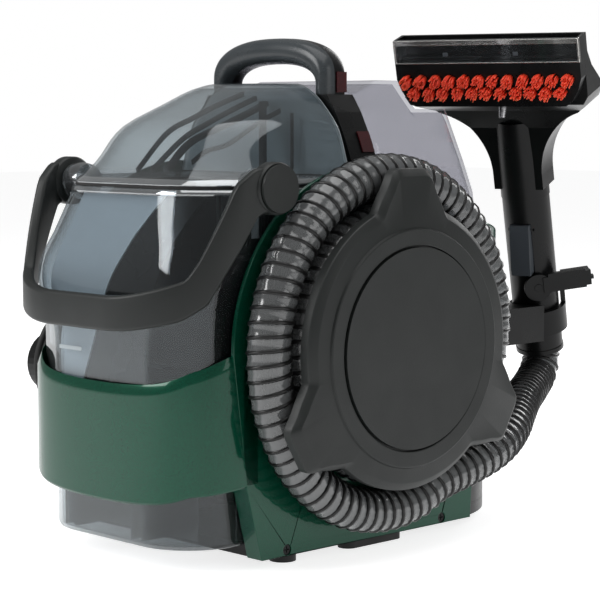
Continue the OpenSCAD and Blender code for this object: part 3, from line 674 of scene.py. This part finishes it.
WALL = 2.5
RING = 120
LID_BACK = -44.1
INNER_Z = (112, 243)
TANK_LAYERS = [
    (104, mirrored([(46, -180, 12), (74.5, -165.5, 12), (77, -130, 12), (84, -49, 5)])),
    (152, mirrored([(46, -180, 12), (74.5, -165.5, 12), (77, -130, 12), (84, -49, 5)])),
    (190, mirrored([(59, -160, 30), (59, -160, 30), (59, -130, 30), (84, -49, 5)])),
    (220, mirrored([(43.5, -137, 45), (43.5, -137, 45), (43.5, -125, 45), (83.5, -49, 5)])),
    (248, mirrored([(30, -115, 58), (30, -115, 58), (30, -110, 58), (83, -49, 5)])),
]
FOOT = mirrored([(36, -145, 44), (77, -50, 3)])
LID_LAYERS = [
    (250, mirrored([(30, -115, 58), (86.5, -45.6, 1.5)])),
    (263, mirrored([(28, -101, 56), (82.5, -45.6, 1.5)])),
    (287, mirrored([(25, -87, 50), (73.5, -45.6, 1.5)])),
    (304, mirrored([(20, -64, 40), (58.5, -45.6, 1.5)])),
    (313, mirrored([(19.5, -54.8, 29.5), (46.5, -45.6, 1.5)])),
    (317, mirrored([(16, -50, 22), (36.5, -45.6, 1.5)])),
]
# ribs inside the lid: name, place, width and a line in Y and Z
LID_LINES = (
    ("lid_rib_front", -1.0, 2.0,
     [(-159.7, 260.1), (-133.7, 284.6), (-110, 295), (-87, 304), (-63.8, 311.5)]),
    ("lid_rib_middle", 2.0, 2.4,
     [(-149.8, 259.9), (-121.8, 281), (-98, 292), (-74.6, 301.4), (-54.7, 308.7)]),
    ("lid_rib_rear", 4.0, 5.5,
     [(-139.8, 259.7), (-119.3, 278), (-87.1, 290.2), (-65.6, 298.1), (-48.4, 305)]),
    ("lid_line", 20.0, 1.2,
     [(-129.1, 265.6), (-115.4, 273.1), (-96.3, 277.4), (-67.9, 291.8), (-48, 300)]),
)


def make_dirty_tank():
    rings, heights = [], []

    def add(circles, z):
        rings.append(support_ring(circles, RING))
        heights.append(z)

    for z, by in ((14, -3), (14.8, -1.2), (17, 0), (103, 0)):
        add(grown(FOOT, by), z)
    add(grown(TANK_LAYERS[0][1], -1.5), 104)
    rise = [105.5, 120, 136, 150, 160, 168, 176, 184, 192, 200, 208, 216, 224, 232, 239, 243.4]
    for z in rise:
        add(between(TANK_LAYERS, z), z)
    # a rolled rim under the seam
    for z, by in ((244, 0.5), (244.8, 1.1), (247, 1.1), (247.7, 0.5), (247.7, -WALL)):
        add(grown(between(TANK_LAYERS, z), by), z)
    for z in rise[::-1]:
        add(grown(between(TANK_LAYERS, z), -WALL), z)
    for z in (104, 40, 16.5):
        add(grown(FOOT, -WALL), z)
    shell = lofted("tank_shell", rings, heights, "smoke", "dirty_tank", ["dirty_tank_shell"])
    # the body's denser tint is partly smoky plastic and partly painted shade for the dark reflections in the
    # tank's front; the foot takes the lid's lighter tint
    shell.data.materials.append(MAT["lid_clear"])
    for face in shell.data.polygons:
        if face.center.z < 103.5 * MM:
            face.material_index = 1
    # the rims at the seam get the brighter clear copy, a painted highlight
    paint_seam_highlight(shell, 2, 243.8, 248)
    # two sheets inside the front paint the tank's reflections: a light grey one paints its bright highlight,
    # a black one its dark reflection
    middle = [(112, -30), (150, -14), (174, -6), (188, 0), (217, 17), (243, 38)]
    painted_reflection("painted_reflection_light", [(112, -66), (190, -64), (243, -50)], middle, "painted_highlight_grey")
    painted_reflection("painted_reflection_dark", [(z, x + 1.5) for z, x in middle], [(112, 38), (180, 44), (243, 66)],
               "black")
    bosses("tank_bosses", "dirty_tank", "boss_clear")
    bars("foot_ribs", [(x, x + 1.6, -185.5, -150, 17, 100) for x in (-48, -38, 22, 32.5)]
         + [(-60, 60, -160, -158.4, 17, 100), (-76, -74.4, -140, -60, 17, 100),
            (74.4, 76, -140, -60, 17, 100)],
         "smoke_rib", "dirty_tank", 0.5, ())
    bars("level_bar", [(-46, -22, -190.45, -190.05, 138.6, 141.2)], "valve_white", "dirty_tank", 0.08, ())


def front_y(x, z, inset):
    """Depth of the tank's front wall at x and z, set back by inset."""
    cx, cy, r = between(TANK_LAYERS, z)[0]
    over = max(0.0, abs(x) - cx)
    return cy - math.sqrt(max(r * r - over * over, 0.0)) + inset


def painted_reflection(name, left, right, material):
    """A curved sheet inside the tank's front that paints a reflection seen in its wall; left and right are
    lists of (z, x).
    """
    rows, columns = 16, 16
    low, high = INNER_Z
    verts = []
    for inset in (7.0, 8.4):
        for i in range(rows):
            z = low + (high - low) * i / (rows - 1)
            x0 = np.interp(z, *zip(*left))
            x1 = np.interp(z, *zip(*right))
            for k in range(columns):
                x = x0 + (x1 - x0) * k / (columns - 1)
                verts.append(at(x, front_y(x, z, inset), z))
    faces = grid_faces(rows, columns, False)
    back = rows * columns
    faces += [[back + i for i in face][::-1] for face in grid_faces(rows, columns, False)]
    rim = list(range(columns)) + [i * columns + columns - 1 for i in range(1, rows)]
    rim += [(rows - 1) * columns + k for k in range(columns - 2, -1, -1)]
    rim += [i * columns for i in range(rows - 2, 0, -1)]
    faces += [[a, b, back + b, back + a] for a, b in zip(rim, rim[1:] + rim[:1])]
    mark_sharp(new_piece(name, verts, faces, material, "dirty_tank", ()), 40)


def paint_seam_highlight(piece, index, low, high):
    """The rolled rims at the seam take a brighter, more mirroring copy of the clear plastic: a painted
    highlight along the seam.
    """
    piece.data.materials.append(MAT["seam_highlight_clear"])
    for face in piece.data.polygons:
        if low * MM < face.center.z < high * MM:
            face.material_index = index


def bosses(name, body, material):
    """Round pivot bosses with a raised lip, turned about the bail's axis."""
    profile = [(83, 8), (84, 12), (89.4, 13), (97.6, 13), (98.6, 12.4), (99, 11.4), (98.2, 10.6), (98.2, 6),
               (99, 5.4)]
    verts, faces = [], []
    sides = 48
    for s in (1, -1):
        n = len(verts)
        for x, r in profile:
            for k in range(sides):
                a = 2 * math.pi * k / sides
                verts.append(at(s * x, PIVOT_Y + r * math.cos(a), PIVOT_Z + r * math.sin(a)))
        rows = len(profile)
        faces += [[n + i for i in face] for face in grid_faces(rows, sides)]
        faces += [[n + k for k in range(sides)], [n + (rows - 1) * sides + k for k in range(sides)]]
    piece = new_piece(name, verts, faces, material, body, ())
    mark_sharp(piece, 40)
    return piece


def lid_ring(z, by=0.0):
    """The lid's outline at height z, cut flat at the back where it meets the frame."""
    ring = support_ring(grown(between(LID_LAYERS, z), by), RING)
    ring[:, 1] = np.minimum(ring[:, 1], LID_BACK + min(by, 0))
    return ring


def make_lid():
    rings, heights = [], []
    for z, by in ((250, -WALL), (250, 0.4), (250.6, 1.2), (253, 1.2), (254, 0.4)):
        rings.append(lid_ring(z, by))
        heights.append(z)
    rise = [255, 259, 263, 268, 273, 278, 283, 288, 293, 298, 302, 306, 310, 313, 315, 316.3]
    for z in rise:
        rings.append(lid_ring(z))
        heights.append(z)
    rings.append(lid_ring(317, -2.0))
    heights.append(317)
    outer = len(rings)
    inner_rise = [313.8] + [z - 1.2 for z in rise[::-1] if z < 313]
    for z in inner_rise:
        rings.append(lid_ring(max(z, 250), -WALL))
        heights.append(z)
    count = RING
    verts = [at(x, y, z) for ring, z in zip(rings, heights) for x, y in ring]
    faces = grid_faces(outer, count)
    faces.append([(outer - 1) * count + k for k in range(count)])
    faces += [[outer * count + i for i in face] for face in grid_faces(len(rings) - outer, count)]
    faces.append([outer * count + k for k in range(count)])
    # the inner skin meets the outer one along the lower edge
    last = (len(rings) - 1) * count
    faces += [[last + k, last + (k + 1) % count, (k + 1) % count, k] for k in range(count)]
    lid = new_piece("lid_shell", verts, faces, "lid_clear", "lid", ["dirty_tank_lid"])
    # the lid's rim at the seam gets the brighter clear copy, a painted highlight
    paint_seam_highlight(lid, 1, 250.1, 254.2)
    # the flat rear wall is nearly opaque light grey, so the ribs show dark against it
    lid.data.materials.append(MAT["lid_back"])
    for face in lid.data.polygons:
        if face.center.y > (-46 + Y_MID) * MM and face.center.z > 255 * MM:
            face.material_index = 2
    mark_sharp(lid, 40)
    for name, x, width, line in LID_LINES:
        lid_strip(name, x, width, line)
    bars("lid_upright", [(14, 18.5, -62, -58, 258, 305), (34, 36, -51, -49, 258, 297)], "smoke_rib", "lid",
         0.6, ())


def lid_strip(name, x, width, line):
    """A rib inside the lid, standing on a line in Y and Z."""
    points, _ = resample([(x, y, z) for y, z in line], 3)
    deep = 3.2
    verts = []
    for px, py, pz in points:
        verts += [at(px, py, pz), at(px + width, py, pz)]
        verts += [at(px + width, py + 0.7, pz - deep), at(px, py + 0.7, pz - deep)]
    faces = grid_faces(len(points), 4)
    faces += [[0, 1, 2, 3], [4 * (len(points) - 1) + k for k in range(4)]]
    piece = new_piece(name, verts, faces, "smoke_rib", "lid", ())
    mark_sharp(piece, 40)


# ---------- bail ----------

BAIL_HW = 111
BAIL_R = 84
STRAP = 7.5
STRAP_LOW = [(-217, 155), (-206, 159.5), (-190, 166), (-178, 176), (-168, 196), (-148, 232), (-134, 236)]
STRAP_HIGH = [(-217, 177), (-204, 184), (-188, 192), (-182, 204), (-162, 252), (-150, 262), (-134, 262)]


def rounded_section(width, height, radius, steps=5):
    """A rectangle with round corners about its middle, as (u, v) points."""
    points = []
    for cu, cv, first in ((1, 1, 0), (-1, 1, 90), (-1, -1, 180), (1, -1, 270)):
        for k in range(steps + 1):
            a = math.radians(first + 90 * k / steps)
            points.append((cu * (width / 2 - radius) + radius * math.cos(a),
                           cv * (height / 2 - radius) + radius * math.sin(a)))
    return points


def make_bail():
    low_y, low_z = zip(*STRAP_LOW)
    high_y, high_z = zip(*STRAP_HIGH)
    mid_r = BAIL_R - STRAP / 2
    side = BAIL_HW - BAIL_R
    path = [(BAIL_HW - STRAP / 2, -134 + 0.001, (1.0, 0.0))]
    for k in range(41):
        a = math.radians(90 * k / 40)
        path.append((side + mid_r * math.cos(a), -130 - mid_r * math.sin(a), (math.cos(a), -math.sin(a))))
    path = [p for p in path if p[1] <= -134]
    path += [(x, -130 - mid_r, (0.0, -1.0)) for x in (18, 9)]
    half = path + [(-x, y, (-n[0], n[1])) for x, y, n in ([(0, -130 - mid_r, (0.0, -1.0))] + path[::-1])]
    verts = []
    for x, y, normal in half:
        lower, upper = np.interp(y, low_y, low_z), np.interp(y, high_y, high_z)
        middle, height = (lower + upper) / 2, upper - lower
        for u, v in rounded_section(STRAP, height, 2.6):
            verts.append(at(x + normal[0] * u, y + normal[1] * u, middle + v))
    sides = len(rounded_section(STRAP, 20, 2.6))
    faces = grid_faces(len(half), sides)
    faces += [list(range(sides)), [(len(half) - 1) * sides + k for k in range(sides)]]
    # the round hubs at both ends, with a groove
    for s in (1, -1):
        n = len(verts)
        profile = [(100.5, 5.1), (100.5, 15.8), (101.6, 17), (109.6, 17), (110.6, 16.2), (110.6, 14.4),
                   (110, 13.8), (111, 13), (111, 5.1)]
        turn = 56
        for x, r in profile:
            verts += [at(s * x, PIVOT_Y + r * math.cos(2 * math.pi * k / turn),
                         PIVOT_Z + r * math.sin(2 * math.pi * k / turn)) for k in range(turn)]
        faces += [[n + i for i in face] for face in grid_faces(len(profile), turn)]
        faces += [[n + (len(profile) - 1) * turn + k, n + (len(profile) - 1) * turn + (k + 1) % turn,
                   n + (k + 1) % turn, n + k] for k in range(turn)]
    strap = new_piece("bail_strap", verts, faces, "charcoal", "bail", ["bail_handle"])
    mark_sharp(strap, 50)


# ---------- carry handle ----------

GRIP_Y = -31
GRIP_HALF = 11


def crown_points(half, straight, rise, foot=309.5):
    points = [(half, foot)]
    for a in range(0, 181, 4):
        c, s = math.cos(math.radians(a)), math.sin(math.radians(a))
        points.append((half * math.copysign(abs(c) ** (2 / 2.4), c), straight + rise * s ** (2 / 2.4)))
    return points + [(-half, foot)]


def make_carry_handle():
    outer, inner = crown_points(59, 322, 27), crown_points(46, 314, 17)
    verts = []
    sides = 36
    for (ox, oz), (ix, iz) in zip(outer, inner):
        for k in range(sides):
            a = 2 * math.pi * (k + 0.5) / sides
            c, s = math.cos(a), math.sin(a)
            # a D section: full and round at the front, squarer behind
            power = 0.85 if s < 0 else 0.5
            u = 0.5 + 0.5 * math.copysign(abs(c) ** power, c)
            y = GRIP_Y + GRIP_HALF * math.copysign(abs(s) ** power, s)
            verts.append(at(ix + (ox - ix) * u, y, iz + (oz - iz) * u))
    faces = grid_faces(len(outer), sides)
    ends = [list(range(sides)), [(len(outer) - 1) * sides + k for k in range(sides)]]
    parting_y = (GRIP_Y - 2 + Y_MID) * MM
    piece = new_piece("carry_grip", verts, faces + ends, "gunmetal", "case", ["carry_handle"])
    piece.data.materials.append(MAT["black"])
    for face in piece.data.polygons:
        middle = sum(piece.data.vertices[v].co.y for v in face.vertices) / len(face.vertices)
        face.material_index = 1 if middle > parting_y else 0
    mark_sharp(piece, 50)


# ---------- green band ----------


def cut_corners(line):
    """One round of corner cutting on an open outline, which keeps its ends."""
    cut = [line[0]]
    for (ax, ay), (bx, by) in zip(line, line[1:]):
        cut += [(near * ax + (1 - near) * bx, near * ay + (1 - near) * by) for near in (0.75, 0.25)]
    return cut + [line[-1]]


def make_band():
    right = [(95, -138), (95, -160), (84, -184), (50, -198)]
    plan = right + [(-x, y) for x, y in right[::-1]]
    for _ in range(3):
        plan = cut_corners(plan)
    top_y, top_z = (-198.1, -184, -159, -138), (121, 132, 142, 142)
    low_y, low_z = (-198.1, -184, -148, -138), (43, 52, 56, 56)
    normals = []
    for i, (x, y) in enumerate(plan):
        a = np.array(plan[max(0, i - 1)], float)
        b = np.array(plan[min(len(plan) - 1, i + 1)], float)
        here = np.array((x, y), float)
        n1 = (here - a) if i else (b - here)
        n2 = (b - here) if i < len(plan) - 1 else (here - a)
        n1, n2 = n1 / np.linalg.norm(n1), n2 / np.linalg.norm(n2)
        n1, n2 = np.array((n1[1], -n1[0])), np.array((n2[1], -n2[0]))
        mitre = n1 + n2
        mitre /= mitre.dot(n1)
        normals.append(mitre)
    verts = []
    # inward steps and heights below the top edge: outer face, chamfer, inner lip, back
    for (x, y), (nx, ny) in zip(plan, normals):
        top, low = np.interp(y, top_y, top_z), np.interp(y, low_y, low_z)
        for step, z in ((0.9, low), (0, low + 1.5), (0, top - 8), (2.9, top), (3.3, top), (3.3, low)):
            # inward is towards the tank
            verts.append(at(x + nx * step, y + ny * step, z))
    faces = grid_faces(len(plan), 6)
    faces += [list(range(6)), [(len(plan) - 1) * 6 + k for k in range(6)]]
    band = new_piece("band_shell", verts, faces, "green", "case", ["front_band"])
    soften(band, 0.5, 3, 24)


# ---------- reel cover ----------


def lobe_radius(angle):
    """Radius of the three-lobed cover in a direction, in degrees from +Y towards +Z."""
    off = min(abs((angle - a + 180) % 360 - 180) for a in (90, 210, 330))
    return max(95.0, float(np.interp(off, (0, 6.8, 8.4, 10.5, 20.5), (118.6, 119.4, 118.6, 111, 94.0))))


def make_reel_cover():
    count = 360
    radius = np.array([lobe_radius(k) for k in range(count)])
    for _ in range(2):
        radius = 0.25 * np.roll(radius, 1) + 0.5 * radius + 0.25 * np.roll(radius, -1)
    turn = np.radians(np.arange(count))
    rows = [(131, radius - 1.0), (132, radius), (138.2, radius), (139, radius - 0.4), (142.6, radius - 4.8),
            (143, radius - 5.8), (143, np.full(count, 80.5)), (143.2, np.full(count, 80)),
            (144.6, np.full(count, 79.2)), (145, np.full(count, 78.4)), (145, np.full(count, 69)),
            (144.7, np.full(count, 68.4)), (142.2, np.full(count, 68.2))]
    verts = []
    for x, r in rows:
        verts += [at(x, REEL_Y + r[k] * math.cos(turn[k]), REEL_Z + r[k] * math.sin(turn[k]))
                  for k in range(count)]
    faces = grid_faces(len(rows), count)
    faces += [list(range(count)), [(len(rows) - 1) * count + k for k in range(count)]]
    cover = new_piece("reel_cover", verts, faces, "charcoal", "case", ["hose_reel_cover"])
    mark_sharp(cover, 24)


# ---------- bristles ----------


def make_bristles():
    """Round tufts of fine strands that splay and lean as used ones do."""
    rng = random.Random(SEED)
    verts, faces = [], []
    tufts = [((i - 5.5) * 11.6, 176) for i in range(12)] + [((i - 5) * 11.6, 167) for i in range(11)]
    for tx, tz in tufts:
        lean = (rng.uniform(-0.12, 0.04), rng.uniform(-0.3, -0.14))
        for _ in range(60):
            r, a = 4.3 * math.sqrt(rng.random()), rng.uniform(0, 2 * math.pi)
            dx, dz = r * math.cos(a), r * math.sin(a)
            long = 8.6 + rng.uniform(-1.1, 0.6)
            base = Vector((tx + dx * 0.8, -53.5, tz + dz * 0.8))
            tip = base + Vector((dx * 0.3 + lean[0] * long, -long, dz * 0.3 + lean[1] * long))
            tip.y = max(tip.y, -62.6)
            middle = base.lerp(tip, 0.55) + Vector((0, 0, 0.5))
            n = len(verts)
            for place, width in ((base, 0.5), (middle, 0.5), (tip, 0.38)):
                for k in range(4):
                    b = math.pi / 2 * k + a
                    x, z = place.x + width * math.cos(b), place.z + width * math.sin(b)
                    verts.append(in_tool(x, place.y, z))
            faces += [[n + i for i in face] for face in grid_faces(3, 4)] + [[n + 8 + k for k in range(4)]]
            faces.append([n + k for k in range(4)])
    new_piece("bristle_tufts", verts, faces, "bristle", "head", ["brush_bristles"])


def make_window_edge_and_catches():
    """The window's rounded edge as a near-opaque bright mirror strip that paints its highlight, and the
    window's two catches.
    """
    bars("window_edge_highlight", [(-72.8, 72.8, -55.6, -54.9, 202.2, 205.9), (-72.8, 72.8, -55.3, -54.9, 188, 188.8),
                         (-73, -71.6, -55.4, -52, 188, 206), (71.6, 73, -55.4, -52, 188, 206)],
         "window_edge_highlight", "head", 0.25, (), in_tool)
    bars("window_catches", [(x - 2, x + 2, -55.5, -54.8, 193.8, 196.6) for x in (-31.3, 24.1)],
         "trigger_grey", "head", 0.4, (), in_tool)


make_window_edge_and_catches()
make_dirty_tank()
make_lid()
make_bail()
make_carry_handle()
make_band()
make_reel_cover()
make_bristles()


# ---------- CAD nodes that stay, with their finish ----------


def finish_node(name, material, edge=0.0):
    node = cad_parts[name]
    node.data.materials.clear()
    node.data.materials.append(MAT[material])
    if edge:
        weld = node.modifiers.new("join_faces", "WELD")
        weld.merge_threshold = 0.00001
        soften(node, edge)
    return node


NODE_FINISH = {
    "green": "rear_cowl hose_side_panel cord_side_panel",
    "black": "base_chassis rear_housing center_frame hose_port hose_reel_hub switch_bezel tank_socket "
             "tool_cradle cord_hook_front cord_hook_rear clean_tank_cap hose_collar hose_grip grip_lever "
             "tool_body brush_block case_screws tool_pins",
    "charcoal": "hose_reel_cap motor_mount fan_housing pump_body float_cage bail_caps",
    "trigger_grey": "spray_trigger",
    "deck_grey": "tank_deck",
    "smoke_rib": "tank_baffle",
    "lavender": "clean_tank_shell clean_tank_neck",
    "red_clear": "handle_inlays",
    "head_clear": "pump_tube",
    "window_clear": "nozzle_window",
    "rubber": "rubber_feet cord_gland power_plug tank_seal cap_seal",
    "steel": "vac_motor hook_pin bail_pins spray_valve spray_tip",
    "valve_white": "float_ball tank_valve fan_impeller",
    "switch_red": "power_switch",
}
SOFT_EDGE = {
    "tool_cradle": 0.8, "cord_hook_front": 2.0, "cord_hook_rear": 2.0, "rear_cowl": 2.0,
    "tank_deck": 0.8, "rear_housing": 0.6, "hose_reel_hub": 0.8, "hose_port": 1.0, "power_plug": 2.0,
    "center_frame": 1.2, "rubber_feet": 0.8, "switch_bezel": 0.8, "power_switch": 0.8, "cord_gland": 0.6,
    "hose_side_panel": 1.3, "cord_side_panel": 1.3, "hose_reel_cap": 1.0, "tool_body": 0.5,
    "brush_block": 0.6,
    "grip_lever": 0.5, "hose_grip": 0.6, "hose_collar": 0.6, "bail_caps": 0.8, "spray_trigger": 0.8,
    "nozzle_window": 0.4,
}
for finish, names in NODE_FINISH.items():
    for node_name in names.split():
        finish_node(node_name, finish, SOFT_EDGE.get(node_name, 0.0))
